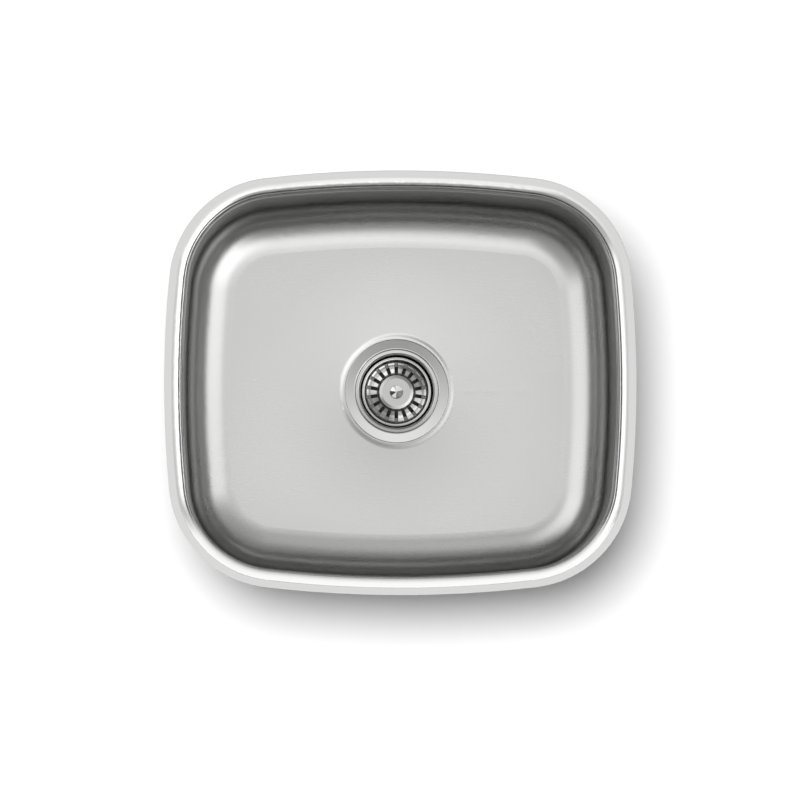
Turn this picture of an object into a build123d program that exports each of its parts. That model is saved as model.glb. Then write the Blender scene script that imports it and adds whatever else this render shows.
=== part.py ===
from build123d import *
import math
import os

# Undermount kitchen sink with a basket strainer, in millimetres.
# The origin is the centre of the rim's top face. +Z is up, +X runs along the
# long side and -Y points to the front of the counter.

# ---- bowl ----
rim_length = 508.0  # left to right, over all
rim_depth = 457.0  # front to back, over all
rim_width = 20.8  # rim's outer edge to the bowl wall
rim_edge_radius = 0.4
bowl_depth = 203.0  # rim face down to the flat part of the floor
sheet = 1.2  # stainless steel sheet
side_arc = 1172.0  # plan radius of the bowed left and right walls
front_arc = 1233.0  # plan radius of the bowed front and back walls
corner_radius = 96.0  # plan radius of the bowl's corners
mouth_radius = 13.5  # rounded edge from rim to wall
wall_draft = 0.8  # degrees that each wall leans outward
floor_radius = 48.0  # wall to floor

# ---- dished floor and strainer recess ----
dish_margin = 8.0  # flat border between the floor radius and the dish
dish_fall = 2.2
recess_radius = 57.7  # flat seat under the strainer flange
recess_depth = 1.4
recess_slope = 6.5  # width of the curved slope round the seat
drain_hole_radius = 43.5

# ---- sound pads ----
pad_thickness = 4.0
pad_corner = 12.0
base_pad_length = 290.0
base_pad_depth = 240.0
base_pad_hole_radius = 75.0
wall_pad_height = 80.0
wall_pad_top = 55.0  # below the rim face
end_pad_width = 190.0  # left and right walls
face_pad_width = 230.0  # front and back walls

# ---- strainer cup ----
cup_sheet = 1.0
flange_radius = 57.15
flange_lip = 0.9  # height of the turned-down outer edge
flange_rise = 1.3  # how far the flange climbs towards its crest
crest_radius = 46.6
step_drop = 1.3  # step just inside the crest
step_radius = 42.2
step_fall = 0.25  # how far the step falls towards the cup
cup_radius = 40.0  # inside
ledge_drop = 20.4  # crest down to the ledge that the basket hangs over
ledge_fall = 0.6  # how far the ledge falls towards the well
cup_corner = 3.0  # bend from the cup wall to the ledge
well_corner = 5.0
cup_bend = 1.2  # every other bend of the cup
lip_bend = 0.7
well_radius = 36.0  # inside
outlet_radius = 20.2
thread_pitch = 1.6
thread_groove = 0.6

# ---- basket ----
basket_sheet = 0.8
basket_bead = 0.9  # radius of the rolled rim
basket_bead_radius = 37.5
basket_wall_radius = 35.0  # middle of the sheet
basket_depth = 14.4  # bead centre to the low edges of the bottom, middle of the sheet
basket_corner = 4.2  # wall to bottom
land_crest_radius = 26.0  # crest of the crowned, slotted bottom
land_crown = 1.8  # how far the bottom rises from its edges to that crest
land_bend = 4.0
basket_rim_bend = 1.2
boss_foot_bend = 2.0
boss_top_bend = 1.8
boss_radius = 16.0  # raised middle of the basket
boss_height = 6.5
slot_count = 18
slot_width = 3.7
slot_start = 20.8  # distance from the axis
slot_top = 5.0  # below the bead's centre

# ---- cap, knob and post ----
cap_radius = 19.8
cap_flat_radius = 15.4
cap_shoulder_drop = 1.3
cap_skirt = 3.3
cap_bend = 1.4
knob_radius = 7.1
knob_neck_radius = 3.9
knob_neck_height = 3.6
knob_head_height = 4.6
knob_flare = 1.2  # height of the head's sloping underside
knob_cone_height = 2.4
knob_bend = 0.7
knob_neck_bend = 0.2
post_radius = 3.0
post_shoulder_radius = 4.2
post_groove = 0.35
post_tip_chamfer = 1.0
collar_length = 3.6  # bearing tube in the basket's middle

# ---- stopper ----
stopper_radius = 28.0
stopper_thickness = 3.5
stopper_bevel = 2.8  # width of the upper edge's slope
stopper_foot = 0.7  # chamfer at the lower edge
seal_plate_radius = 12.0
seal_plate_thickness = 1.0
stem_nut_width = 9.0  # across flats
stem_nut_height = 2.5
stem_nut_side_count = 6

# ---- outlet, crossbar and fasteners ----
spud_radius = 23.6
spud_flange_radius = 28.5
spud_flange_thickness = 2.5
spud_length = 25.0
spud_bore_radius = 20.0
crossbar_seat_drop = 9.0  # spud's top down to the step under the crossbar
crossbar_seat_radius = 21.5
crossbar_thickness = 2.5
crossbar_ring = 2.5  # radial width of its outer ring
crossbar_arm = 3.2  # width of each arm
crossbar_arm_count = 4
hub_radius = 6.0
hub_height = 5.5
spring_wire = 1.1  # square section
spring_split = 40.0  # degrees left open
washer_thickness = 3.0
washer_radius = 57.0
friction_thickness = 1.0
lock_nut_radius = 49.0
lock_nut_height = 9.0
lock_nut_flange_radius = 54.0
lock_nut_flange = 3.0
lock_nut_lug_count = 8
lock_nut_lug_width = 7.0
lock_nut_chamfer = 0.6
coupling_width = 56.0  # across flats
coupling_side_count = 8
coupling_height = 18.5
coupling_floor = 4.0
coupling_round = 1.2
tailpiece_hole_radius = 19.4  # for a 38.1 mm tailpiece
tailpiece_washer_thickness = 2.5
tailpiece_washer_radius = 23.2
post_tip_drop = 17.0  # spud's top down to the post's tip
open_lift = 8.0  # raised position that the catch holds

# ---- clearances ----
running_fit = 0.08  # post in its bearings
thread_fit = 0.15  # nut on thread
turning_gap = 0.4  # between the basket and the stack that it turns on
rest_gap = 0.3  # basket bead over the ledge
seat_gap = 0.2  # stopper over the cup's bottom
seal_margin = 1.0  # putty kept back from the edges round it

# ---- heights worked out from the above ----
floor_top = -bowl_depth
recess_brink = floor_top - dish_fall
seat_top = recess_brink - recess_depth
seat_bottom = seat_top - sheet
crest = seat_top + flange_lip + flange_rise
step_height = crest - step_drop
ledge = crest - ledge_drop
bead_height = ledge + cup_sheet / 2 + rest_gap + basket_bead
basket_bottom = bead_height - basket_depth
stopper_top = basket_bottom - basket_sheet / 2 - turning_gap
stopper_bottom = stopper_top - stopper_thickness
cup_bottom = stopper_bottom - seat_gap - cup_sheet / 2
spud_top = cup_bottom - cup_sheet / 2
spud_bottom = spud_top - spud_length
crossbar_bottom = spud_top - crossbar_seat_drop
hub_top = crossbar_bottom + hub_height
post_tip = spud_top - post_tip_drop
boss_top = basket_bottom + boss_height + basket_sheet / 2
cap_underside = boss_top + turning_gap
cap_top = cap_underside + basket_sheet
coupling_bottom = spud_bottom - tailpiece_washer_thickness - coupling_floor

# ---- plan sizes worked out from the above ----
floor_half_depth = (
    rim_depth / 2 - rim_width - floor_radius - bowl_depth * math.tan(math.radians(wall_draft))
)
dish_radius = floor_half_depth - dish_margin
brink_radius = recess_radius + recess_slope
slope_turn = 2 * math.degrees(math.atan2(recess_depth, recess_slope))
slope_arc = recess_slope / (2 * math.sin(math.radians(slope_turn)))
cup_outer_radius = cup_radius + cup_sheet
cup_middle_radius = cup_radius + cup_sheet / 2
well_middle_radius = well_radius + cup_sheet / 2
lip_radius = flange_radius - cup_sheet / 2
flange_slope = flange_rise / (lip_radius - crest_radius)
bearing_radius = post_radius + running_fit

os.makedirs("parts", exist_ok=True)


def wall_outline(height, margin):
    """Outline of the bowl wall at a height, moved outward evenly by a margin."""
    side_centre = rim_length / 2 - rim_width - side_arc
    front_centre = rim_depth / 2 - rim_width - front_arc
    with BuildSketch(Plane.XY.offset(height)) as outline:
        with Locations((side_centre, 0)):
            Circle(side_arc + margin)
        with Locations((-side_centre, 0)):
            Circle(side_arc + margin, mode=Mode.INTERSECT)
        with Locations((0, front_centre)):
            Circle(front_arc + margin, mode=Mode.INTERSECT)
        with Locations((0, -front_centre)):
            Circle(front_arc + margin, mode=Mode.INTERSECT)
        fillet(outline.vertices(), corner_radius + margin)
    return outline.sketch


def bowl_form(margin):
    """The bowl's hollow down to its flat floor, grown evenly by a margin."""
    with BuildPart() as form:
        extrude(wall_outline(0, margin), amount=-bowl_depth - margin, taper=wall_draft)
        fillet(form.faces().sort_by(Axis.Z)[0].edges(), floor_radius + margin)
    return form.part


def drain_form(margin):
    """The dish and the strainer recess in the floor, grown evenly by a margin."""
    with BuildPart() as form:
        with BuildSketch(Plane.XZ):
            with BuildLine():
                dish = TangentArc(
                    (dish_radius, floor_top - margin),
                    (brink_radius, recess_brink - margin),
                    tangent=(-1, 0),
                )
                CenterArc(
                    (brink_radius, recess_brink - slope_arc), slope_arc - margin, 90, slope_turn
                )
                foot = CenterArc(
                    (recess_radius, seat_top + slope_arc), slope_arc + margin, 270, slope_turn
                )
                Polyline(
                    foot @ 0,
                    (0, seat_top - margin),
                    (0, floor_top + floor_radius),
                    (dish_radius, floor_top + floor_radius),
                    dish @ 0,
                )
            make_face()
        revolve(axis=Axis.Z)
    return form.part


def thread_grooves(radius, bottom, top):
    """Ring grooves that stand for a thread, about the drain's axis."""
    count = int((top - bottom) / thread_pitch)
    with BuildPart() as grooves:
        with BuildSketch(Plane.XZ):
            for index in range(count):
                with Locations((radius, bottom + (index + 0.5) * thread_pitch)):
                    Rectangle(thread_groove, thread_groove, rotation=45)
        revolve(axis=Axis.Z)
    return grooves.part


# ---- bowl ----
inner_form = bowl_form(0) + drain_form(0)
outer_form = bowl_form(sheet) + drain_form(sheet)

with BuildPart() as bowl:
    add(outer_form)
    extrude(wall_outline(-sheet, rim_width), amount=sheet)
    rim_underside = bowl.faces().filter_by(Axis.Z).sort_by(Axis.Z)[-2]
    fillet(rim_underside.inner_wires()[0].edges(), mouth_radius - sheet)
    add(inner_form, mode=Mode.SUBTRACT)
    rim_face = bowl.faces().sort_by(Axis.Z)[-1]
    fillet(rim_face.inner_wires()[0].edges(), mouth_radius)
    rim_face = bowl.faces().sort_by(Axis.Z)[-1]
    fillet(rim_face.outer_wire().edges(), rim_edge_radius)
    with Locations((0, 0, seat_top)):
        Hole(drain_hole_radius)
bowl.part.label = "bowl"
export_step(bowl.part, "parts/bowl.step")

# ---- sound pads ----
with BuildPart() as base_pad:
    with BuildSketch(Plane.XY.offset(floor_top - sheet - pad_thickness)):
        RectangleRounded(base_pad_length, base_pad_depth, pad_corner)
        Circle(base_pad_hole_radius, mode=Mode.SUBTRACT)
    extrude(amount=pad_thickness + sheet)
    add(outer_form, mode=Mode.SUBTRACT)
base_pad.part.label = "base_pad"
export_step(base_pad.part, "parts/base_pad.step")

padded_form = bowl_form(sheet + pad_thickness)
wall_sides = {
    "right_pad": (Plane.YZ, end_pad_width),
    "left_pad": (-Plane.YZ, end_pad_width),
    "back_pad": (-Plane.XZ, face_pad_width),
    "front_pad": (Plane.XZ, face_pad_width),
}
for pad_name, (middle_plane, pad_width) in wall_sides.items():
    with BuildPart() as wall_pad:
        outward = Plane(origin=(0, 0, 0), x_dir=Vector(0, 0, 1), z_dir=middle_plane.z_dir)
        with BuildSketch(outward):
            with Locations((-wall_pad_top - wall_pad_height / 2, 0)):
                RectangleRounded(wall_pad_height, pad_width, pad_corner)
        extrude(amount=rim_length / 2)
        add(padded_form, mode=Mode.INTERSECT)
        add(outer_form, mode=Mode.SUBTRACT)
    wall_pad.part.label = pad_name
    export_step(wall_pad.part, f"parts/{pad_name}.step")

# ---- strainer cup ----
with BuildPart() as strainer_cup:
    with BuildSketch(Plane.XZ):
        with BuildLine():
            FilletPolyline(
                (lip_radius, seat_top),
                (lip_radius, seat_top + flange_lip),
                (crest_radius, crest),
                (crest_radius - step_drop, step_height),
                (step_radius, step_height - step_fall),
                (cup_middle_radius, seat_top - cup_sheet),
                (cup_middle_radius, ledge),
                (well_middle_radius, ledge - ledge_fall),
                (well_middle_radius, cup_bottom),
                (outlet_radius, cup_bottom),
                radius=[
                    lip_bend, cup_bend, cup_bend, cup_bend, cup_bend, cup_corner, cup_bend, well_corner
                ],
            )
        trace(line_width=cup_sheet)
    revolve(axis=Axis.Z)
    add(
        thread_grooves(cup_outer_radius, ledge + cup_corner, seat_bottom),
        mode=Mode.SUBTRACT,
    )
strainer_cup.part.label = "strainer_cup"
export_step(strainer_cup.part, "parts/strainer_cup.step")

# ---- putty, washers and nut that clamp the cup ----
def flange_underside(radius):
    """Height of the flange's underside at a distance from the axis."""
    climb = flange_slope * (lip_radius - radius)
    return seat_top + flange_lip + climb - cup_sheet / 2 * math.hypot(1, flange_slope)


with BuildPart() as flange_seal:
    seal_inner = crest_radius + seal_margin
    seal_outer = lip_radius - cup_sheet / 2 - seal_margin
    with BuildSketch(Plane.XZ):
        with BuildLine():
            Polyline(
                (seal_inner, seat_top),
                (seal_outer, seat_top),
                (seal_outer, flange_underside(seal_outer)),
                (seal_inner, flange_underside(seal_inner)),
                close=True,
            )
        make_face()
    revolve(axis=Axis.Z)
flange_seal.part.label = "flange_seal"
export_step(flange_seal.part, "parts/flange_seal.step")

with BuildPart() as under_washer:
    washer_bottom = seat_bottom - washer_thickness
    with BuildSketch(Plane.XY.offset(washer_bottom)):
        Circle(washer_radius)
        Circle(drain_hole_radius + seal_margin, mode=Mode.SUBTRACT)
    extrude(amount=washer_thickness)
    chamfer(under_washer.faces().sort_by(Axis.Z)[0].outer_wire().edges(), seal_margin)
under_washer.part.label = "under_washer"
export_step(under_washer.part, "parts/under_washer.step")

with BuildPart() as friction_ring:
    friction_bottom = washer_bottom - friction_thickness
    with BuildSketch(Plane.XY.offset(friction_bottom)):
        Circle(washer_radius - seal_margin)
        Circle(cup_outer_radius + thread_fit, mode=Mode.SUBTRACT)
    extrude(amount=friction_thickness)
friction_ring.part.label = "friction_ring"
export_step(friction_ring.part, "parts/friction_ring.step")

with BuildPart() as lock_nut:
    with BuildSketch(Plane.XY.offset(friction_bottom)):
        Circle(lock_nut_radius)
        with PolarLocations(lock_nut_radius, lock_nut_lug_count):
            Rectangle(2 * (lock_nut_flange_radius - lock_nut_radius), lock_nut_lug_width)
    extrude(amount=-lock_nut_height)
    with BuildSketch(Plane.XY.offset(friction_bottom)):
        Circle(lock_nut_flange_radius)
    extrude(amount=-lock_nut_flange)
    with Locations((0, 0, friction_bottom)):
        Hole(cup_outer_radius + thread_fit)
    chamfer(lock_nut.faces().sort_by(Axis.Z)[0].edges(), lock_nut_chamfer)
lock_nut.part.label = "lock_nut"
export_step(lock_nut.part, "parts/lock_nut.step")

# ---- outlet ----
with BuildPart() as outlet_spud:
    with BuildSketch(Plane.XY.offset(spud_bottom)):
        Circle(spud_radius)
    extrude(amount=spud_length)
    with BuildSketch(Plane.XY.offset(spud_top)):
        Circle(spud_flange_radius)
    extrude(amount=-spud_flange_thickness)
    with Locations((0, 0, spud_top)):
        CounterBoreHole(spud_bore_radius, crossbar_seat_radius, crossbar_seat_drop)
    add(
        thread_grooves(spud_radius, spud_bottom, spud_top - spud_flange_thickness - thread_pitch),
        mode=Mode.SUBTRACT,
    )
outlet_spud.part.label = "outlet_spud"
export_step(outlet_spud.part, "parts/outlet_spud.step")

with BuildPart() as crossbar:
    ring_radius = crossbar_seat_radius - thread_fit
    with BuildSketch(Plane.XY.offset(crossbar_bottom)):
        Circle(ring_radius)
        Circle(ring_radius - crossbar_ring, mode=Mode.SUBTRACT)
        arm_length = ring_radius - crossbar_ring / 2
        with PolarLocations(arm_length / 2, crossbar_arm_count):
            Rectangle(arm_length, crossbar_arm)
    extrude(amount=crossbar_thickness)
    with BuildSketch(Plane.XY.offset(crossbar_bottom)):
        Circle(hub_radius)
    extrude(amount=hub_height)
    with Locations((0, 0, hub_top)):
        CounterBoreHole(bearing_radius, bearing_radius + spring_wire + running_fit, spring_wire)
crossbar.part.label = "crossbar"
export_step(crossbar.part, "parts/crossbar.step")

with BuildPart() as catch_spring:
    with BuildSketch(Plane.XZ):
        with Locations((bearing_radius, hub_top - spring_wire)):
            Rectangle(spring_wire, spring_wire, align=(Align.MIN, Align.MIN))
    revolve(axis=Axis.Z, revolution_arc=360 - spring_split)
catch_spring.part.label = "catch_spring"
export_step(catch_spring.part, "parts/catch_spring.step")

with BuildPart() as coupling_nut:
    coupling_top = coupling_bottom + coupling_height
    with BuildSketch(Plane.XY.offset(coupling_bottom)) as nut_outline:
        RegularPolygon(coupling_width / 2, coupling_side_count, major_radius=False)
        fillet(nut_outline.vertices(), coupling_round)
    extrude(amount=coupling_height)
    end_faces = coupling_nut.faces().filter_by(Axis.Z)
    chamfer(end_faces.edges(), coupling_round)
    with Locations((0, 0, coupling_top)):
        CounterBoreHole(
            tailpiece_hole_radius, spud_radius + thread_fit, coupling_height - coupling_floor
        )
coupling_nut.part.label = "coupling_nut"
export_step(coupling_nut.part, "parts/coupling_nut.step")

with BuildPart() as tailpiece_washer:
    with BuildSketch(Plane.XY.offset(spud_bottom)):
        Circle(tailpiece_washer_radius)
        Circle(spud_bore_radius, mode=Mode.SUBTRACT)
    extrude(amount=-tailpiece_washer_thickness)
tailpiece_washer.part.label = "tailpiece_washer"
export_step(tailpiece_washer.part, "parts/tailpiece_washer.step")

# ---- basket ----
with BuildPart() as basket:
    boss_middle = boss_top - basket_sheet / 2
    collar_radius = post_shoulder_radius + running_fit + basket_sheet / 2
    rim_middle = bead_height - basket_bead / 4
    with BuildSketch(Plane.XZ):
        with BuildLine():
            FilletPolyline(
                (basket_bead_radius, rim_middle),
                (basket_wall_radius, rim_middle),
                (basket_wall_radius, basket_bottom),
                (land_crest_radius, basket_bottom + land_crown),
                (boss_radius, basket_bottom),
                (boss_radius, boss_middle),
                (collar_radius, boss_middle),
                (collar_radius, boss_middle - collar_length),
                radius=[
                    basket_rim_bend, basket_corner, land_bend, boss_foot_bend, boss_top_bend, basket_sheet
                ],
            )
        trace(line_width=basket_sheet)
        with Locations((basket_bead_radius, bead_height)):
            Circle(basket_bead)
    revolve(axis=Axis.Z)
    slot_length = basket_bead_radius - slot_start
    with BuildSketch(Plane.XY.offset(basket_bottom - basket_sheet)):
        with PolarLocations(slot_start + slot_length / 2, slot_count, start_angle=90):
            SlotOverall(slot_length, slot_width)
    extrude(amount=basket_depth + basket_sheet - slot_top, mode=Mode.SUBTRACT)
basket.part.label = "basket"
export_step(basket.part, "parts/basket.step")

# ---- stopper stack that the basket turns on ----
with BuildPart() as basket_cap:
    cap_middle = cap_top - basket_sheet / 2
    skirt_radius = cap_radius - basket_sheet / 2
    with BuildSketch(Plane.XZ):
        with BuildLine():
            FilletPolyline(
                (bearing_radius, cap_middle),
                (cap_flat_radius, cap_middle),
                (skirt_radius, cap_middle - cap_shoulder_drop),
                (skirt_radius, cap_middle - cap_shoulder_drop - cap_skirt),
                radius=cap_bend,
            )
        trace(line_width=basket_sheet)
    revolve(axis=Axis.Z)
basket_cap.part.label = "basket_cap"
export_step(basket_cap.part, "parts/basket_cap.step")

with BuildPart() as knob:
    head_bottom = cap_top + knob_neck_height
    head_top = head_bottom + knob_head_height
    bore_top = head_bottom + knob_head_height / 2
    with BuildSketch(Plane.XZ):
        with BuildLine():
            outline = FilletPolyline(
                (bearing_radius, cap_top),
                (knob_neck_radius, cap_top),
                (knob_neck_radius, head_bottom),
                (knob_radius, head_bottom + knob_flare),
                (knob_radius, head_top),
                (0, head_top + knob_cone_height),
                radius=[knob_neck_bend, knob_bend, knob_bend, knob_bend],
            )
            Polyline(outline @ 1, (0, bore_top), (bearing_radius, bore_top), outline @ 0)
        make_face()
    revolve(axis=Axis.Z)
knob.part.label = "knob"
export_step(knob.part, "parts/knob.step")

with BuildPart() as post:
    with BuildSketch(Plane.XY.offset(post_tip)):
        Circle(post_radius)
    extrude(amount=bore_top - post_tip)
    chamfer(post.faces().sort_by(Axis.Z)[0].edges(), post_tip_chamfer)
    with BuildSketch(Plane.XY.offset(stopper_top)):
        Circle(post_shoulder_radius)
    extrude(amount=cap_underside - stopper_top)
    catch_height = hub_top - spring_wire / 2
    with BuildSketch(Plane.XZ):
        with Locations((post_radius, catch_height), (post_radius, catch_height - open_lift)):
            Circle(post_groove)
    revolve(axis=Axis.Z, mode=Mode.SUBTRACT)
post.part.label = "post"
export_step(post.part, "parts/post.step")

with BuildPart() as stopper_seal:
    pocket_top = stopper_bottom + seal_plate_thickness
    with BuildSketch(Plane.XZ):
        with BuildLine():
            Polyline(
                (bearing_radius, stopper_top),
                (stopper_radius - stopper_bevel, stopper_top),
                (stopper_radius, stopper_top - stopper_thickness / 2),
                (stopper_radius, stopper_bottom + stopper_foot),
                (stopper_radius - stopper_foot, stopper_bottom),
                (seal_plate_radius + thread_fit, stopper_bottom),
                (seal_plate_radius + thread_fit, pocket_top),
                (bearing_radius, pocket_top),
                close=True,
            )
        make_face()
    revolve(axis=Axis.Z)
stopper_seal.part.label = "stopper_seal"
export_step(stopper_seal.part, "parts/stopper_seal.step")

with BuildPart() as seal_plate:
    with BuildSketch(Plane.XY.offset(stopper_bottom)):
        Circle(seal_plate_radius)
        Circle(bearing_radius, mode=Mode.SUBTRACT)
    extrude(amount=seal_plate_thickness)
seal_plate.part.label = "seal_plate"
export_step(seal_plate.part, "parts/seal_plate.step")

with BuildPart() as stem_nut:
    with BuildSketch(Plane.XY.offset(stopper_bottom)):
        RegularPolygon(stem_nut_width / 2, stem_nut_side_count, major_radius=False)
        Circle(bearing_radius, mode=Mode.SUBTRACT)
    extrude(amount=-stem_nut_height)
stem_nut.part.label = "stem_nut"
export_step(stem_nut.part, "parts/stem_nut.step")
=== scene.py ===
"""Undermount kitchen sink with a basket strainer, dressed for a studio view from above."""

import logging
import math
from dataclasses import dataclass
from enum import Enum, unique
from typing import Any, Mapping, Optional, Sequence, Union

import bpy
from mathutils import Matrix, Vector


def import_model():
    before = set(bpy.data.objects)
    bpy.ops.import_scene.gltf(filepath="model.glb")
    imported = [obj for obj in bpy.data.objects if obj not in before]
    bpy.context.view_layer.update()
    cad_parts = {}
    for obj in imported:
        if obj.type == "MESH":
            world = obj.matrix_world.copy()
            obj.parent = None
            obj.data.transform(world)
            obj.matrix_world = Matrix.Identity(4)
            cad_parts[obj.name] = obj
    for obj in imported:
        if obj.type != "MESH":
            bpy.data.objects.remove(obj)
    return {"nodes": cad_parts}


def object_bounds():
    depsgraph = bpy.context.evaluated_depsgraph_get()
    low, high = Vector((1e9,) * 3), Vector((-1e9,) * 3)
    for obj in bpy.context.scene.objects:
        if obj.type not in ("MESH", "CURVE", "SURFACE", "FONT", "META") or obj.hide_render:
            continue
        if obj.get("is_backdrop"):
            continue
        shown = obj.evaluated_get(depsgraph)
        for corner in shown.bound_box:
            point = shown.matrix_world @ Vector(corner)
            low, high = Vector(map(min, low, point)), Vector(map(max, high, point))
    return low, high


log = logging.getLogger("sink")

Colour = tuple[float, float, float]
Point = tuple[float, float, float]
Number = Union[int, float]
Name = Union[str, int]

# Where a mask is 0 and where it is 1, in rising or falling order.
Band = tuple[float, float]

# The two strengths that a finish's colour is shaded between.
Tones = tuple[float, float]

WHITE: Colour = (1.0, 1.0, 1.0)
NOISE_MIDDLE = 0.5


# ---------------------------------------------------------------- shader maths


class Wire:
    """A shader socket that takes part in Python expressions on numbers."""

    def __init__(self, graph: "Graph", socket: Optional[bpy.types.NodeSocket]) -> None:
        """Keep the graph and the socket, which is None for a node without outputs."""
        self.graph = graph
        self.socket = socket

    def apply(self, operation: str, *others: Union["Wire", Number]) -> "Wire":
        """Return a named Math operation of self and others, such as MAXIMUM or SQRT."""
        return self.graph.math(operation, self, *others)

    def __add__(self, other: Union["Wire", Number]) -> "Wire":
        """Return self + other."""
        return self.graph.math("ADD", self, other)

    def __radd__(self, other: Number) -> "Wire":
        """Return other + self."""
        return self.graph.math("ADD", other, self)

    def __sub__(self, other: Union["Wire", Number]) -> "Wire":
        """Return self - other."""
        return self.graph.math("SUBTRACT", self, other)

    def __rsub__(self, other: Number) -> "Wire":
        """Return other - self."""
        return self.graph.math("SUBTRACT", other, self)

    def __mul__(self, other: Union["Wire", Number]) -> "Wire":
        """Return self * other."""
        return self.graph.math("MULTIPLY", self, other)

    def __rmul__(self, other: Number) -> "Wire":
        """Return other * self."""
        return self.graph.math("MULTIPLY", other, self)

    def __truediv__(self, other: Union["Wire", Number]) -> "Wire":
        """Return self / other."""
        return self.graph.math("DIVIDE", self, other)

    def __rtruediv__(self, other: Number) -> "Wire":
        """Return other / self."""
        return self.graph.math("DIVIDE", other, self)

    def __neg__(self) -> "Wire":
        """Return self with its sign turned."""
        return self.graph.math("SUBTRACT", 0.0, self)

    def __abs__(self) -> "Wire":
        """Return the size of self without its sign."""
        return self.graph.math("ABSOLUTE", self)

    def ease(self, band: Band) -> "Wire":
        """Step smoothly from 0 to 1.

        Args:
            band: The values that give 0 and 1.

        Returns:
            The mask.
        """
        low, high = band
        settings = {"interpolation_type": "SMOOTHSTEP", "clamp": True}
        inputs = {"Value": self, "From Min": low, "From Max": high, "To Min": 0.0, "To Max": 1.0}
        return self.graph.add("ShaderNodeMapRange", settings, inputs)

    def toward(self, other: Union["Wire", Number], share: "Wire") -> "Wire":
        """Return self moved toward other by a share."""
        return self + (other - self) * share

    def sway(self, width: float) -> "Wire":
        """Return noise as a change about 0, as wide as the width from end to end."""
        return (self - NOISE_MIDDLE) * width


@dataclass(frozen=True)
class Grain:
    """A noise, by its lumps to the metre, its finer layers and how strong those are."""

    scale: float
    layers: float
    strength: float


class Graph:
    """A node tree, filled by one method."""

    def __init__(self, tree: bpy.types.NodeTree) -> None:
        """Empty the tree and keep it."""
        self.tree = tree
        self.tree.nodes.clear()

    def add(
        self,
        kind: str,
        settings: Optional[Mapping[str, Any]] = None,
        inputs: Optional[Mapping[Name, Any]] = None,
        output: Name = 0,
    ) -> Wire:
        """Add one node of any type.

        Args:
            kind: The node's type, such as ShaderNodeTexNoise.
            settings: Its properties, set first.
            inputs: A value or a Wire for each socket, by identifier, name or index.
            output: The output to return, by identifier, name or index.

        Returns:
            The chosen output.
        """
        node = self.tree.nodes.new(kind)
        for name, value in (settings or {}).items():
            setattr(node, name, value)
        for name, value in (inputs or {}).items():
            self._feed(self._find(node.inputs, name), value)
        return Wire(self, self._find(node.outputs, output) if len(node.outputs) else None)

    def _feed(self, socket: bpy.types.NodeSocket, value: Any) -> None:
        """Link or set one input.

        Args:
            socket: The input.
            value: A Wire, a number, a vector or a colour without alpha.
        """
        if isinstance(value, Wire):
            self.tree.links.new(value.socket, socket)
        elif socket.type == "RGBA":
            socket.default_value = (*value, 1.0)
        else:
            socket.default_value = value

    @staticmethod
    def _find(sockets: Any, name: Name) -> bpy.types.NodeSocket:
        """Find a socket by identifier, name or index.

        Args:
            sockets: A node's inputs or outputs.
            name: What to look for.

        Returns:
            The socket.
        """
        if isinstance(name, int):
            return sockets[name]
        for socket in sockets:
            if socket.identifier == name:
                return socket
        return sockets[name]

    def math(self, operation: str, *values: Union[Wire, Number]) -> Wire:
        """Return the result of one Math node, whose values are given in order."""
        names = ("Value", "Value_001", "Value_002")
        return self.add("ShaderNodeMath", {"operation": operation}, dict(zip(names, values)))

    def blend(self, share: Wire, first: Any, second: Any) -> Wire:
        """Return a mix of two colours: the first at a share of 0 and the second at 1."""
        inputs = {"Factor_Float": share, "A_Color": first, "B_Color": second}
        return self.add("ShaderNodeMix", {"data_type": "RGBA"}, inputs, "Result_Color")

    def split(self, vector: Wire) -> tuple[Wire, Wire, Wire]:
        """Return the three parts of a vector."""
        x = self.add("ShaderNodeSeparateXYZ", inputs={"Vector": vector}, output="X")
        return x, self.beside(x, "Y"), self.beside(x, "Z")

    def beside(self, wire: Wire, output: Name) -> Wire:
        """Return another output of the node that a Wire comes from."""
        return Wire(self, wire.socket.node.outputs[output])

    def join(self, x: Any, y: Any, z: Any) -> Wire:
        """Return a vector made of three numbers."""
        return self.add("ShaderNodeCombineXYZ", inputs={"X": x, "Y": y, "Z": z})

    def reach(self, x: Wire, y: Wire, least: float = 0.0) -> Wire:
        """Return the distance from the axis. Where a least square is given, it is never 0."""
        square = x * x + y * y
        return (square + least if least else square).apply("SQRT")

    def noise(self, place: Wire, grain: Grain) -> Wire:
        """Return noise between 0 and 1.

        Args:
            place: Where to read it, in metres.
            grain: The noise's size.

        Returns:
            The noise value.
        """
        inputs = {
            "Vector": place,
            "Scale": grain.scale,
            "Detail": grain.layers,
            "Roughness": grain.strength,
        }
        return self.add("ShaderNodeTexNoise", {"noise_dimensions": "3D"}, inputs)

    def bump(self, height: Wire) -> Wire:
        """Return the normal that a height in metres gives."""
        inputs = {"Height": height, "Strength": 1.0, "Distance": 1.0}
        return self.add("ShaderNodeBump", inputs=inputs)


# -------------------------------------------------------------------- finishes


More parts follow.
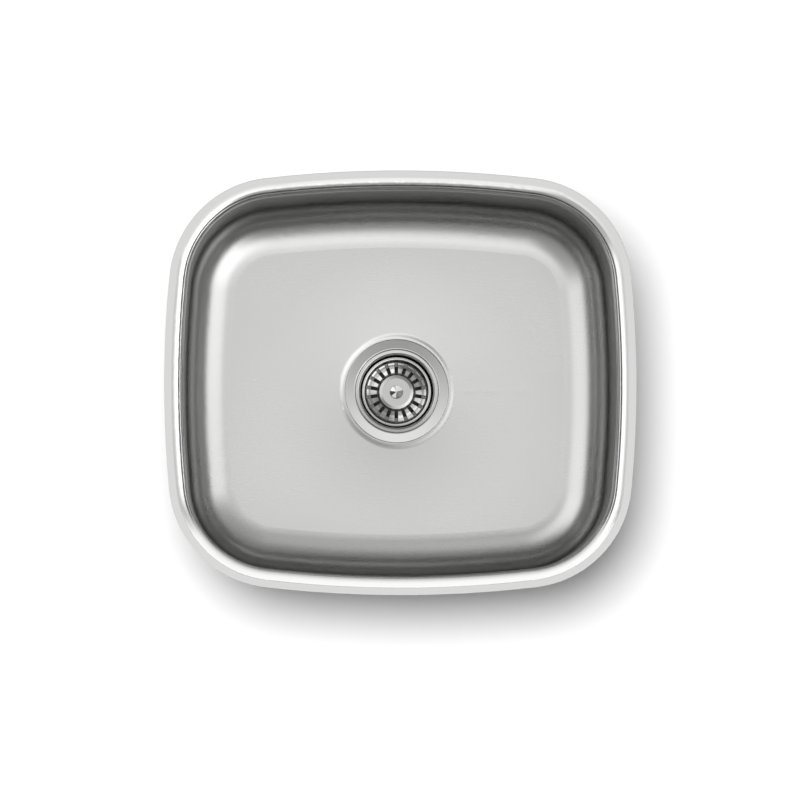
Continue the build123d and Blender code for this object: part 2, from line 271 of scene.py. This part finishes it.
@dataclass(frozen=True)
class Finish:
    """What every finish shares: a colour, a roughness and one Principled surface."""

    colour: Colour
    roughness: float

    def paint(self, graph: Graph, place: Wire) -> dict[str, Any]:
        """Return the surface's sockets. Each finish adds its own texture."""
        raise NotImplementedError

    def shade(self, graph: Graph, share: Wire, tones: Tones) -> Wire:
        """Return the colour at the first strength for a share of 0 and the second for 1."""
        first, second = (tuple(tone * part for part in self.colour) for tone in tones)
        return graph.blend(share, first, second)

    def material(self, name: str) -> bpy.types.Material:
        """Build the material.

        Args:
            name: The material's name.

        Returns:
            The material, ready to be put in a slot.
        """
        material = bpy.data.materials.new(name)
        material.use_nodes = True
        graph = Graph(material.node_tree)
        place = graph.add("ShaderNodeTexCoord", output="Object")
        surface = graph.add("ShaderNodeBsdfPrincipled", inputs=self.paint(graph, place))
        graph.add("ShaderNodeOutputMaterial", inputs={"Surface": surface})
        return material


@dataclass(frozen=True)
class SatinSteel(Finish):
    """Pressed stainless sheet with a fine brushed satin and a polished lip.

    The brushing runs left to right, and round the bowl on its end walls. Heights are measured
    from the rim. The lip carries a painted highlight: it is paler than the sheet, and at the
    front it is hardly metallic, so that it shows pale.
    """

    brush: Grain = Grain(1400.0, 3.0, 0.6)
    brush_stretch: float = 0.02
    brush_depth: float = 4.0e-7
    brush_tones: Tones = (0.98, 1.02)
    brush_roughness: float = 0.05
    end_walls: Band = (0.45, 0.75)
    ripple: Grain = Grain(28.0, 1.0, 0.4)
    ripple_depth: float = 3.5e-6
    cloud: Grain = Grain(9.0, 2.0, 0.5)
    cloud_roughness: float = 0.04
    edge_tint: Colour = (0.30, 0.30, 0.30)
    lip_top: Band = (-0.0002, -0.0012)
    lip_foot: Band = (-0.0090, -0.0045)
    lip_highlight_colour: Colour = (0.90, 0.90, 0.895)
    polish_foot: Band = (-0.018, -0.010)
    polish: float = 0.13
    highlight_haze_top: Band = (-0.000005, -0.00006)
    highlight_haze_foot: Band = (-0.0075, -0.0010)
    highlight_haze_front: Band = (-0.130, -0.170)
    highlight_haze: float = 0.95

    def paint(self, graph: Graph, place: Wire) -> dict[str, Any]:
        """Brush the sheet, polish its lip and paint a highlight on the lip.

        Args:
            graph: The material's graph.
            place: The point in metres.

        Returns:
            Principled sockets.
        """
        x, y, z = graph.split(place)
        facing_x, _, _ = graph.split(graph.add("ShaderNodeTexCoord", output="Normal"))
        along_x = graph.noise(graph.join(x * self.brush_stretch, y, z), self.brush)
        along_y = graph.noise(graph.join(x, y * self.brush_stretch, z), self.brush)
        brush = along_x.toward(along_y, abs(facing_x).ease(self.end_walls))
        ripple = graph.noise(place, self.ripple)
        cloud = graph.noise(place, self.cloud)
        # Painted highlight: the lip is paler than the sheet all round; at the front it is also
        # made hardly metallic, so it shows as a pale band.
        lip = z.ease(self.lip_top) * z.ease(self.lip_foot)
        highlight_haze = z.ease(self.highlight_haze_top) * z.ease(self.highlight_haze_foot) * y.ease(self.highlight_haze_front)
        tone = self.shade(graph, brush, self.brush_tones)
        return {
            "Base Color": graph.blend(lip.apply("MAXIMUM", highlight_haze), tone, self.lip_highlight_colour),
            "Metallic": 1.0 - highlight_haze * self.highlight_haze,
            "Specular Tint": self.edge_tint,
            "Roughness": (
                self.roughness + brush.sway(self.brush_roughness)
                + cloud.sway(self.cloud_roughness) - z.ease(self.polish_foot) * self.polish
            ),
            "Normal": graph.bump(ripple * self.ripple_depth + brush * self.brush_depth),
        }


@dataclass(frozen=True)
class TurnedSteel(Finish):
    """Steel finished on a lathe, with fine rings about the drain's axis.

    Painted shade may darken the inside of the drain, from its top down. Less of it lies in a
    lighter ring of radii, past the stopper's edge.
    """

    rings: Grain = Grain(2600.0, 2.0, 0.6)
    ring_depth: float = 1.5e-6
    anisotropy: float = 0.5
    well_shade: float = 0.0
    ring_tones: Tones = (0.94, 1.05)
    ring_roughness: float = 0.10
    smear: Grain = Grain(160.0, 3.0, 0.6)
    smear_roughness: float = 0.06
    well_shade_colour: Colour = (0.055, 0.053, 0.050)
    well_shade_roughness: float = 0.20
    well_shade_edge: Band = (0.0409, 0.0405)
    well_shade_top: Band = (-0.2125, -0.2165)
    lighter_ring_from: Band = (0.0275, 0.0292)
    lighter_ring_to: Band = (0.0368, 0.0360)
    lighter_ring: float = 0.30

    def paint(self, graph: Graph, place: Wire) -> dict[str, Any]:
        """Add the rings and the painted shade.

        Args:
            graph: The material's graph.
            place: The point in metres.

        Returns:
            Principled sockets.
        """
        x, y, z = graph.split(place)
        reach = graph.reach(x, y)
        ring = graph.noise(graph.join(reach, z, 0.0), self.rings)
        smear = graph.noise(place, self.smear)
        lighter_ring = reach.ease(self.lighter_ring_from) * reach.ease(self.lighter_ring_to) * self.lighter_ring
        # Painted shade: the inside of the drain is darkened from its top down, less in a lighter
        # ring past the stopper's edge.
        inside = reach.ease(self.well_shade_edge) * z.ease(self.well_shade_top)
        well_shade = inside * self.well_shade * (1.0 - lighter_ring)
        tone = self.shade(graph, ring, self.ring_tones)
        return {
            "Base Color": graph.blend(well_shade, tone, self.well_shade_colour),
            "Metallic": 1.0,
            "Roughness": (
                self.roughness + ring.sway(self.ring_roughness)
                + smear.sway(self.smear_roughness) + well_shade * self.well_shade_roughness
            ),
            "Anisotropic": self.anisotropy,
            "Normal": graph.bump(ring * self.ring_depth),
        }


@dataclass(frozen=True)
class Wedge:
    """A painted dark reflection on a cone: its middle and half its width in degrees, and its
    share.
    """

    middle: float
    half: float
    share: float


@dataclass(frozen=True)
class KnobSteel(TurnedSteel):
    """Turned steel of the knob, whose cone has painted dark reflections in wedges and a painted
    highlight between them.
    """

    wedges: tuple[Wedge, ...] = (
        Wedge(194.0, 22.0, 0.98), Wedge(318.0, 56.0, 0.86), Wedge(112.0, 11.0, 0.40)
    )
    wedge_blur: Band = (1.25, 0.75)
    wedge_reflection_colour: Colour = (0.035, 0.035, 0.036)
    highlight_haze: float = 0.65
    least_square: float = 1.0e-10

    def paint(self, graph: Graph, place: Wire) -> dict[str, Any]:
        """Add the painted reflections and highlight to the turned steel.

        Args:
            graph: The material's graph.
            place: The point in metres.

        Returns:
            Principled sockets.
        """
        sockets = super().paint(graph, place)
        x, y, _ = graph.split(place)
        reach = graph.reach(x, y, self.least_square)
        clear: Union[Wire, Number] = 1.0
        # Painted reflection: each wedge darkens the cone; outside the wedges the cone is made
        # less metallic, a painted highlight.
        for wedge in self.wedges:
            middle = math.radians(wedge.middle)
            along = (x * math.cos(middle) + y * math.sin(middle)) / reach
            start, full = (math.cos(math.radians(wedge.half * blur)) for blur in self.wedge_blur)
            dark = along.ease((start, full)) * wedge.share
            sockets["Base Color"] = graph.blend(dark, sockets["Base Color"], self.wedge_reflection_colour)
            clear = (1.0 - dark) * clear
        sockets["Metallic"] = 1.0 - clear * self.highlight_haze
        return sockets


@dataclass(frozen=True)
class PolishedSteel(Finish):
    """Thin stamped steel, tumbled bright, with faint handling marks."""

    peel: Grain = Grain(420.0, 2.0, 0.5)
    peel_depth: float = 4.0e-6
    hair: Grain = Grain(3200.0, 2.0, 0.7)
    hair_roughness: float = 0.08
    smear: Grain = Grain(90.0, 3.0, 0.6)
    smear_roughness: float = 0.08
    smear_tones: Tones = (0.95, 1.04)

    def paint(self, graph: Graph, place: Wire) -> dict[str, Any]:
        """Add a faint peel and hairline marks.

        Args:
            graph: The material's graph.
            place: The point in metres.

        Returns:
            Principled sockets.
        """
        hair = graph.noise(place, self.hair)
        smear = graph.noise(place, self.smear)
        return {
            "Base Color": self.shade(graph, smear, self.smear_tones),
            "Metallic": 1.0,
            "Roughness": (
                self.roughness + hair.sway(self.hair_roughness)
                + smear.sway(self.smear_roughness)
            ),
            "Normal": graph.bump(graph.noise(place, self.peel) * self.peel_depth),
        }


@dataclass(frozen=True)
class SlottedSteel(PolishedSteel):
    """Stamped steel of the basket, with painted shade along its slots and in its creases.

    The painted shade lies at the slots' edges, at the foot of the raised middle, where the cap
    casts its shadow, and in the crease under the rim. Two opposite sides of the slotted bottom
    carry a painted dark reflection. The slot's middle is its place within its share of a turn.
    """

    slots: int = 18
    slot_middle: float = 0.5
    slot_edge: Band = (0.00225, 0.00195)
    slotted_from: Band = (0.0200, 0.0208)
    slotted_under: Band = (-0.2270, -0.2285)
    foot_within: Band = (0.0222, 0.0206)
    foot_under: Band = (-0.2330, -0.2345)
    crease_from: Band = (0.0332, 0.0340)
    crease_to: Band = (0.0363, 0.0357)
    crease_under: Band = (-0.2235, -0.2243)
    dark_reflection_from: Band = (0.0195, 0.0210)
    dark_reflection_to: Band = (0.0362, 0.0352)
    dark_reflection_sides: Band = (-0.15, 0.32)
    dull: float = 0.62
    painted_shade: float = 0.85
    painted_shade_colour: Colour = (0.060, 0.058, 0.054)
    painted_shade_roughness: float = 0.20
    least_square: float = 1.0e-9

    def paint(self, graph: Graph, place: Wire) -> dict[str, Any]:
        """Add the painted shade and reflection to the polished steel.

        Args:
            graph: The material's graph.
            place: The point in metres.

        Returns:
            Principled sockets.
        """
        sockets = super().paint(graph, place)
        x, y, z = graph.split(place)
        reach = graph.reach(x, y)
        step = math.tau / self.slots
        turn = (y.apply("ARCTAN2", x) / step + self.slots).apply("FRACT")
        beside = abs(turn - self.slot_middle) * step * reach
        # Painted shade at the slots' edges, in the shadow under the cap's edge and in the crease
        # under the rim; two opposite sides carry a painted dark reflection (the dull mask).
        slotted = reach.ease(self.slotted_from) * z.ease(self.slotted_under)
        edges = beside.ease(self.slot_edge) * slotted
        foot = reach.ease(self.foot_within) * z.ease(self.foot_under)
        crease = reach.ease(self.crease_from) * reach.ease(self.crease_to)
        crease = crease * z.ease(self.crease_under)
        side = x * y / (reach * reach + self.least_square)
        dull = reach.ease(self.dark_reflection_from) * reach.ease(self.dark_reflection_to) * side.ease(self.dark_reflection_sides)
        painted_shade = edges.apply("MAXIMUM", foot).apply("MAXIMUM", crease) * self.painted_shade
        painted_shade = painted_shade.apply("MAXIMUM", dull * self.dull)
        sockets["Base Color"] = graph.blend(painted_shade, sockets["Base Color"], self.painted_shade_colour)
        sockets["Roughness"] = sockets["Roughness"] + painted_shade * self.painted_shade_roughness
        return sockets


@dataclass(frozen=True)
class PlatedMetal(Finish):
    """Machined brass under dull nickel plate, with a faint tarnish in patches."""

    rings: Grain = Grain(1800.0, 2.0, 0.6)
    ring_depth: float = 2.5e-6
    ring_roughness: float = 0.10
    tarnish: Grain = Grain(110.0, 4.0, 0.65)
    tarnish_band: Band = (0.55, 0.85)
    tarnish_share: float = 0.45
    tarnish_colour: Colour = (0.40, 0.37, 0.31)
    tarnish_roughness: float = 0.12

    def paint(self, graph: Graph, place: Wire) -> dict[str, Any]:
        """Add turning marks and a faint tarnish.

        Args:
            graph: The material's graph.
            place: The point in metres.

        Returns:
            Principled sockets.
        """
        x, y, z = graph.split(place)
        ring = graph.noise(graph.join(graph.reach(x, y), z, 0.0), self.rings)
        tarnish = graph.noise(place, self.tarnish).ease(self.tarnish_band)
        share = tarnish * self.tarnish_share
        return {
            "Base Color": graph.blend(share, self.colour, self.tarnish_colour),
            "Metallic": 1.0,
            "Roughness": (
                self.roughness + ring.sway(self.ring_roughness)
                + tarnish * self.tarnish_roughness
            ),
            "Normal": graph.bump(ring * self.ring_depth),
        }


@dataclass(frozen=True)
class CastMetal(Finish):
    """Die-cast zinc with a grainy skin, dull and bright in patches."""

    skin: Grain = Grain(1500.0, 3.0, 0.6)
    skin_depth: float = 2.2e-5
    skin_roughness: float = 0.08
    patch: Grain = Grain(130.0, 3.0, 0.55)
    patch_tones: Tones = (0.82, 1.12)
    patch_roughness: float = 0.18

    def paint(self, graph: Graph, place: Wire) -> dict[str, Any]:
        """Add a pitted skin with dull and bright patches.

        Args:
            graph: The material's graph.
            place: The point in metres.

        Returns:
            Principled sockets.
        """
        skin = graph.noise(place, self.skin)
        patch = graph.noise(place, self.patch)
        return {
            "Base Color": self.shade(graph, patch, self.patch_tones),
            "Metallic": 1.0,
            "Roughness": (
                self.roughness + patch.sway(self.patch_roughness)
                + skin.sway(self.skin_roughness)
            ),
            "Normal": graph.bump(skin * self.skin_depth),
        }


@dataclass(frozen=True)
class Moulded(Finish):
    """Rubber, nylon or putty: a matt solid with its own grain.

    The spread says how far its shade changes, of which the grain has a small part.
    """

    grain_scale: float
    grain_depth: float
    spread: float = 0.25
    shine: float = 0.5
    grain_layers: float = 3.0
    grain_strength: float = 0.6
    grain_part: float = 0.3
    cloud: Grain = Grain(60.0, 3.0, 0.55)
    cloud_roughness: float = 0.16

    def paint(self, graph: Graph, place: Wire) -> dict[str, Any]:
        """Add a fine grain and a slow change of shade.

        Args:
            graph: The material's graph.
            place: The point in metres.

        Returns:
            Principled sockets.
        """
        fine = Grain(self.grain_scale, self.grain_layers, self.grain_strength)
        grain = graph.noise(place, fine)
        cloud = graph.noise(place, self.cloud)
        share = cloud * (1.0 - self.grain_part) + grain * self.grain_part
        return {
            "Base Color": self.shade(graph, share, (1.0 - self.spread, 1.0 + self.spread)),
            "Metallic": 0.0,
            "Roughness": self.roughness + cloud.sway(self.cloud_roughness),
            "Specular IOR Level": self.shine,
            "Normal": graph.bump(grain * self.grain_depth),
        }


FINE_RINGS = Grain(4200.0, 2.0, 0.6)
WIRE_RINGS = Grain(3000.0, 2.0, 0.6)


@unique
class SinkFinish(Enum):
    """The sink's finishes. Each material has its member's name in small letters."""

    SINK_STEEL = SatinSteel((0.62, 0.62, 0.615), 0.28)
    # The strainer's steel carries painted shade inside the drain.
    STRAINER_STEEL = TurnedSteel((0.56, 0.56, 0.55), 0.20, well_shade=0.90)
    BASKET_STEEL = SlottedSteel((0.67, 0.67, 0.66), 0.16)
    CAP_STEEL = PolishedSteel((0.49, 0.49, 0.48), 0.16)
    TURNED_STEEL = TurnedSteel((0.68, 0.68, 0.67), 0.14, FINE_RINGS, 1.2e-6, 0.75)
    KNOB_STEEL = KnobSteel((0.82, 0.82, 0.81), 0.10, FINE_RINGS, 1.2e-6, 0.55)
    SPRING_STEEL = TurnedSteel((0.50, 0.50, 0.50), 0.28, WIRE_RINGS, 1.5e-6, 0.3)
    PLATED_BRASS = PlatedMetal((0.58, 0.57, 0.54), 0.24)
    ZINC = CastMetal((0.52, 0.53, 0.54), 0.42)
    STOPPER_RUBBER = Moulded((0.014, 0.014, 0.015), 0.60, 1400.0, 1.5e-5, shine=0.2)
    WASHER_RUBBER = Moulded((0.045, 0.045, 0.046), 0.68, 1100.0, 2.5e-5)
    PAD_RUBBER = Moulded((0.07, 0.07, 0.075), 0.72, 420.0, 9.0e-5)
    PUTTY = Moulded((0.42, 0.40, 0.36), 0.62, 300.0, 1.2e-4, 0.10)
    FIBRE = Moulded((0.36, 0.24, 0.14), 0.82, 2200.0, 3.0e-5, 0.30)
    WHITE_NYLON = Moulded((0.78, 0.77, 0.74), 0.38, 1600.0, 8.0e-6, 0.04)


class Dresser:
    """Puts the finishes on the pieces and reports each one."""

    def __init__(self, nodes: Mapping[str, bpy.types.Object]) -> None:
        """Keep the frame's nodes by name, with no material made yet."""
        self.nodes = nodes
        self.materials: dict[SinkFinish, bpy.types.Material] = {}

    def material(self, finish: SinkFinish) -> bpy.types.Material:
        """Make a finish's material on first use.

        Args:
            finish: The finish.

        Returns:
            Its material.
        """
        if finish not in self.materials:
            self.materials[finish] = finish.value.material(finish.name.lower())
        return self.materials[finish]

    def dress(self, node: str, finish: SinkFinish) -> None:
        """Give a piece its finish.

        Args:
            node: The piece's name.
            finish: The finish.
        """
        slots = self.nodes[node].data.materials
        slots.clear()
        slots.append(self.material(finish))
        log.info("%s: %s", node, finish.name.lower())


# -------------------------------------------------------------- sub-assemblies


@dataclass(frozen=True)
class Bowl:
    """The pressed bowl and the pads on it."""

    pads: tuple[str, ...] = ("base_pad", "front_pad", "back_pad", "left_pad", "right_pad")

    def dress(self, dresser: Dresser) -> None:
        """Dress the shell and its pads.

        Args:
            dresser: Puts the finishes on.
        """
        dresser.dress("bowl", SinkFinish.SINK_STEEL)
        for pad in self.pads:
            dresser.dress(pad, SinkFinish.PAD_RUBBER)


@dataclass(frozen=True)
class Strainer:
    """The strainer cup with what clamps it to the floor."""

    def dress(self, dresser: Dresser) -> None:
        """Dress the cup, seal, washers and nut.

        Args:
            dresser: Puts the finishes on.
        """
        dresser.dress("strainer_cup", SinkFinish.STRAINER_STEEL)
        dresser.dress("flange_seal", SinkFinish.PUTTY)
        dresser.dress("under_washer", SinkFinish.WASHER_RUBBER)
        dresser.dress("friction_ring", SinkFinish.FIBRE)
        dresser.dress("lock_nut", SinkFinish.ZINC)


@dataclass(frozen=True)
class Outlet:
    """The outlet under the cup, with its crossbar and coupling."""

    def dress(self, dresser: Dresser) -> None:
        """Dress the outlet's parts.

        Args:
            dresser: Puts the finishes on.
        """
        dresser.dress("outlet_spud", SinkFinish.PLATED_BRASS)
        dresser.dress("crossbar", SinkFinish.STRAINER_STEEL)
        dresser.dress("catch_spring", SinkFinish.SPRING_STEEL)
        dresser.dress("coupling_nut", SinkFinish.PLATED_BRASS)
        dresser.dress("tailpiece_washer", SinkFinish.WHITE_NYLON)


@dataclass(frozen=True)
class Basket:
    """The lift-out basket and the stack that it turns on."""

    def dress(self, dresser: Dresser) -> None:
        """Dress the basket, cap, knob, post and stopper.

        Args:
            dresser: Puts the finishes on.
        """
        dresser.dress("basket", SinkFinish.BASKET_STEEL)
        dresser.dress("basket_cap", SinkFinish.CAP_STEEL)
        dresser.dress("knob", SinkFinish.KNOB_STEEL)
        dresser.dress("post", SinkFinish.TURNED_STEEL)
        dresser.dress("stopper_seal", SinkFinish.STOPPER_RUBBER)
        dresser.dress("seal_plate", SinkFinish.STRAINER_STEEL)
        dresser.dress("stem_nut", SinkFinish.PLATED_BRASS)


# ---------------------------------------------------------------------- studio


@dataclass(frozen=True)
class Sky:
    """The levels that polished steel mirrors, as bands by height and side.

    A height is the upward part of a direction: 1 overhead and 0 at the horizon. A side is its
    share to the right (east) or the back (north), and for the corners the two multiplied. Each
    band gives where a level starts and where it is full. The values named east, north, cross
    and diagonal are how a level changes with the sides.
    """

    zenith_level: float = 1.14
    inner_heights: Band = (0.9955, 0.9750)
    inner_level: float = 0.98
    inner_north: float = -0.46
    outer_heights: Band = (0.9500, 0.8900)
    outer_level: float = 1.20
    outer_east: float = 0.12
    outer_north: float = -0.33
    outer_cross: float = 0.22
    outer_diagonal: float = -0.80
    corner_sides: Band = (0.14, 0.46)
    corner_heights: Band = (0.97, 0.84)
    corner_level: float = 0.46
    front_sides: Band = (0.70, 0.95)
    front_heights: Band = (0.90, 0.62)
    front_level: float = 0.36
    back_sides: Band = (0.55, 0.95)
    back_heights: Band = (0.76, 0.54)
    back_level: float = 0.30
    dark_heights: Band = (0.48, 0.36)
    dark_end: Band = (0.16, 0.06)
    dark_level: float = 0.06

    def mirrored(self, east: Wire, north: Wire, up: Wire) -> Wire:
        """Work out the level of a direction.

        Args:
            east: The direction's share to the right, -1 to 1.
            north: Its share to the back, -1 to 1.
            up: Its upward part.

        Returns:
            The level, 1 for white.
        """
        inner = self.inner_level + north * self.inner_north
        outer = (
            self.outer_level + east * self.outer_east + north * self.outer_north
            + (east * east - north * north) * self.outer_cross
            + east * north * self.outer_diagonal
        )
        corner = (east * north).ease(self.corner_sides) * up.ease(self.corner_heights)
        front = (-north).ease(self.front_sides) * up.ease(self.front_heights)
        back = north.ease(self.back_sides) * up.ease(self.back_heights)
        dark = up.ease(self.dark_heights) * (1.0 - up.ease(self.dark_end))
        level = self.zenith_level + (inner - self.zenith_level) * up.ease(self.inner_heights)
        level = level.toward(outer, up.ease(self.outer_heights))
        level = level.toward(self.corner_level, corner)
        level = level.toward(self.front_level, front)
        level = level.toward(self.back_level, back)
        return level.toward(self.dark_level, dark)


@dataclass(frozen=True)
class Studio:
    """The pale floor, the light and the camera."""

    floor_level: float
    floor_size: float = 20.0
    floor_colour: Colour = (0.90, 0.90, 0.90)
    floor_glow: float = 0.01
    sky: Sky = Sky()
    sky_fill: float = 0.10
    sky_least_square: float = 1.0e-6
    key_strength: float = 3.2
    key_width: float = 17.0
    key_from: Point = (-0.0245, 0.0175, 0.2745)
    key_distance: float = 3.0
    camera_place: Point = (-0.1935, -0.457, 9.95)
    camera_aim: Point = (-0.0005, -0.0188, 0.0)
    camera_up: Point = (0.0, 1.0, 0.0)
    camera_width: float = 4.944
    camera_range: float = 100.0

    def build(self) -> None:
        """Build the floor, the light and the camera."""
        self.build_floor()
        self.build_sky()
        self.build_key()
        self.place_camera()

    @staticmethod
    def rays(graph: Graph) -> tuple[Wire, Wire]:
        """Tell apart the kinds of ray.

        Args:
            graph: The graph that asks.

        Returns:
            1 for rays of the camera or through glass, and 1 for mirrored rays.
        """
        camera = graph.add("ShaderNodeLightPath", output="Is Camera Ray")
        seen = camera.apply("MAXIMUM", graph.beside(camera, "Is Transmission Ray"))
        return seen, graph.beside(camera, "Is Glossy Ray")

    def build_floor(self) -> None:
        """Lay a wide pale floor under the sink."""
        half = self.floor_size / 2
        mesh = bpy.data.meshes.new("floor")
        corners = [(-half, -half), (half, -half), (half, half), (-half, half)]
        mesh.from_pydata([(x, y, self.floor_level) for x, y in corners], [], [(0, 1, 2, 3)])
        floor = bpy.data.objects.new("floor", mesh)
        bpy.context.scene.collection.objects.link(floor)
        material = bpy.data.materials.new("floor")
        material.use_nodes = True
        graph = Graph(material.node_tree)
        seen, glossy = self.rays(graph)
        strength = seen.apply("MAXIMUM", glossy) * self.floor_glow
        matt = graph.add("ShaderNodeBsdfDiffuse", inputs={"Color": self.floor_colour})
        glow = graph.add("ShaderNodeEmission", inputs={"Color": WHITE, "Strength": strength})
        surface = graph.add("ShaderNodeAddShader", inputs={0: matt, 1: glow})
        graph.add("ShaderNodeOutputMaterial", inputs={"Surface": surface})
        mesh.materials.append(material)
        floor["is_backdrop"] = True

    def build_sky(self) -> None:
        """Surround the sink with the sky: white to the camera, banded in the steel."""
        world = bpy.data.worlds.new("studio")
        bpy.context.scene.world = world
        world.use_nodes = True
        world.cycles.sampling_method = "NONE"
        graph = Graph(world.node_tree)
        x, y, up = graph.split(graph.add("ShaderNodeTexCoord", output="Generated"))
        reach = graph.reach(x, y, self.sky_least_square)
        mirrored = self.sky.mirrored(x / reach, y / reach, up)
        seen, glossy = self.rays(graph)
        matt = 1.0 - seen.apply("MAXIMUM", glossy)
        strength = seen + glossy * mirrored + matt * self.sky_fill
        light = graph.add("ShaderNodeBackground", inputs={"Color": WHITE, "Strength": strength})
        graph.add("ShaderNodeOutputWorld", inputs={"Surface": light})

    def build_key(self) -> None:
        """Hang a broad soft lamp above and to the left, which casts the floor's shadow."""
        lamp = bpy.data.lights.new("key", "SUN")
        lamp.energy = self.key_strength
        lamp.angle = math.radians(self.key_width)
        key = bpy.data.objects.new("key", lamp)
        bpy.context.scene.collection.objects.link(key)
        key.location = Vector(self.key_from).normalized() * self.key_distance
        key.rotation_euler = (-Vector(self.key_from)).to_track_quat("-Z", "Y").to_euler()
        key.visible_glossy = False

    def place_camera(self) -> None:
        """Look down on the sink from a little in front of it."""
        lens = bpy.data.cameras.new("camera")
        lens.sensor_fit = "AUTO"
        lens.angle = math.radians(self.camera_width)
        lens.clip_end = self.camera_range
        camera = bpy.data.objects.new("camera", lens)
        bpy.context.scene.collection.objects.link(camera)
        place = Vector(self.camera_place)
        back = (place - Vector(self.camera_aim)).normalized()
        right = Vector(self.camera_up).cross(back).normalized()
        turn = Matrix((right, back.cross(right), back)).transposed()
        camera.matrix_world = Matrix.LocRotScale(place, turn.to_quaternion(), None)
        bpy.context.scene.camera = camera


def main() -> None:
    """Load the frame, dress each sub-assembly and set up the studio."""
    logging.basicConfig(level=logging.INFO, format="%(message)s")
    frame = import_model()
    cad_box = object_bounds()
    bpy.context.scene.view_settings.view_transform = "Standard"
    dresser = Dresser(frame["nodes"])
    for part in (Bowl(), Strainer(), Outlet(), Basket()):
        part.dress(dresser)
    lowest, _ = cad_box
    Studio(floor_level=lowest.z).build()


if __name__ == "__main__":
    main()
